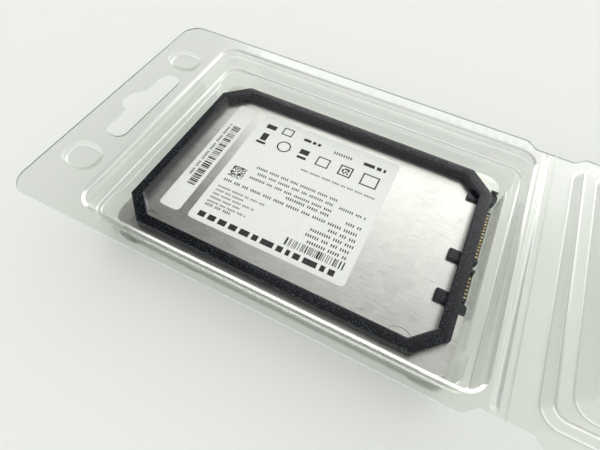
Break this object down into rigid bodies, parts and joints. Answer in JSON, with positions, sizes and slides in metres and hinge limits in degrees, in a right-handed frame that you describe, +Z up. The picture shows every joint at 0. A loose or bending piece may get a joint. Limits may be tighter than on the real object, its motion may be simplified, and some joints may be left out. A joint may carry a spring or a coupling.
{
  "type": "clamshell hang pack with drive",
  "caption": "Clear clamshell hang pack, opened flat, with a flat rectangular drive and its spacer frame seated in the tray.",
  "frame": {"origin": "middle of the underside of the tray's floor, straight below the drive's centre", "axes": "+X towards the fold and the lid, +Y towards the far long side, +Z up out of the tray"},
  "size_m": [0.2652, 0.086, 0.0281],
  "materials": {
    "clear_film": "clear gloss",
    "drive_metal": "fine brushed",
    "spacer_plastic": "fine matt grain",
    "plug_plastic": "matt",
    "contact_gold": "gold plated",
    "label_paper": "matt paper",
    "board_laminate": "satin",
    "screw_steel": "plain",
    "chip_plastic": "matt",
    "soft_pad": "matt",
    "ceramic": "plain"
  },
  "bodies": {
    "tray": {"base_tray": "clear_film", "case_bottom": "drive_metal", "case_cover": "drive_metal", "spacer_frame": "spacer_plastic", "plug_body": "plug_plastic", "power_contacts": "contact_gold", "signal_contacts": "contact_gold", "main_label": "label_paper", "serial_label": "label_paper", "circuit_board": "board_laminate", "board_screws": "screw_steel", "controller_chip": "chip_plastic", "memory_chip": "chip_plastic", "power_inductor": "chip_plastic", "capacitors": "ceramic", "thermal_pad": "soft_pad", "flash_chip_1": "chip_plastic", "flash_chip_2": "chip_plastic", "flash_chip_3": "chip_plastic", "flash_chip_4": "chip_plastic"},
    "lid": {"lid": "clear_film"}
  },
  "joints": [
    {"name": "lid_fold", "type": "hinge", "parent": "tray", "child": "lid", "pos_m": [0.0598, 0, 0.01915], "axis": [0, -1, 0], "range_deg": [0, 180]}
  ]
}
